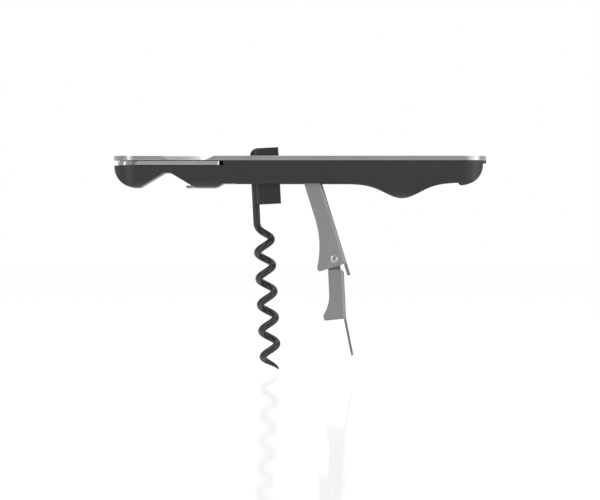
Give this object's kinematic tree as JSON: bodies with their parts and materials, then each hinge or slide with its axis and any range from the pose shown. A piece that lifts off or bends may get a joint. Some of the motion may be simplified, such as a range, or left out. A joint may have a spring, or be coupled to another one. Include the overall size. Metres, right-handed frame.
{
  "type": "lever corkscrew",
  "caption": "Folding lever corkscrew: steel top plate on a black handle, black worm on a knuckle block, two-step steel lever, foil knife and cap lifter.",
  "frame": {"origin": "middle of the top plate's outer face, on the handle's mid-plane", "axes": "+X along the handle towards the nose, -Y the side the knife opens to, +Z out of the top plate; the worm and lever hang towards -Z"},
  "size_m": [0.13, 0.017, 0.0774],
  "materials": {
    "plate_steel": "satin stainless steel",
    "body_plastic": "fine matt black",
    "liner_steel": "satin",
    "pin_steel": "turned and polished",
    "washer_steel": "spring steel",
    "screw_black": "black oxide",
    "block_plastic": "semi-matt black",
    "worm_coating": "black non-stick coating",
    "lever_steel": "satin pressed sheet",
    "blade_steel": "ground"
  },
  "bodies": {
    "handle": {"top_plate": "plate_steel", "handle_body": "body_plastic", "liner_front": "liner_steel", "liner_rear": "liner_steel", "worm_pin": "pin_steel", "lever_pin": "pin_steel", "knife_post": "pin_steel", "knife_washer": "washer_steel", "knife_screw": "screw_black", "plate_bosses": "pin_steel", "body_screws": "screw_black", "cap_lifter": "liner_steel", "lifter_screws": "screw_black", "knuckle_washers": "washer_steel", "lever_washers": "washer_steel"},
    "lever": {"lever_arm": "lever_steel", "step_rivets": "pin_steel"},
    "step": {"step_arm": "lever_steel"},
    "worm": {"knuckle_block": "block_plastic", "worm": "worm_coating"},
    "knife": {"knife_blade": "blade_steel"}
  },
  "joints": [
    {"name": "lever_fold", "type": "hinge", "parent": "handle", "child": "lever", "pos_m": [0.00307, 0, -0.00478], "axis": [0, -1, 0], "range_deg": [-2.5, 72.1]},
    {"name": "worm_fold", "type": "hinge", "parent": "handle", "child": "worm", "pos_m": [-0.01305, 0, -0.0062], "axis": [0, -1, 0], "range_deg": [-3, 85.7]},
    {"name": "step_fold", "type": "hinge", "parent": "lever", "child": "step", "pos_m": [0.01184, 0, -0.03588], "axis": [0, -1, 0], "range_deg": [-0.5, 12.6]},
    {"name": "knife_fold", "type": "hinge", "parent": "handle", "child": "knife", "pos_m": [-0.0597, 0, -0.0025], "axis": [0, 0, -1], "range_deg": [0, 180]}
  ],
  "couplings": [
    {"joint": "worm_fold", "follows": "lever_fold", "ratio": 1.1886},
    {"joint": "step_fold", "follows": "lever_fold", "ratio": 0.1747}
  ]
}
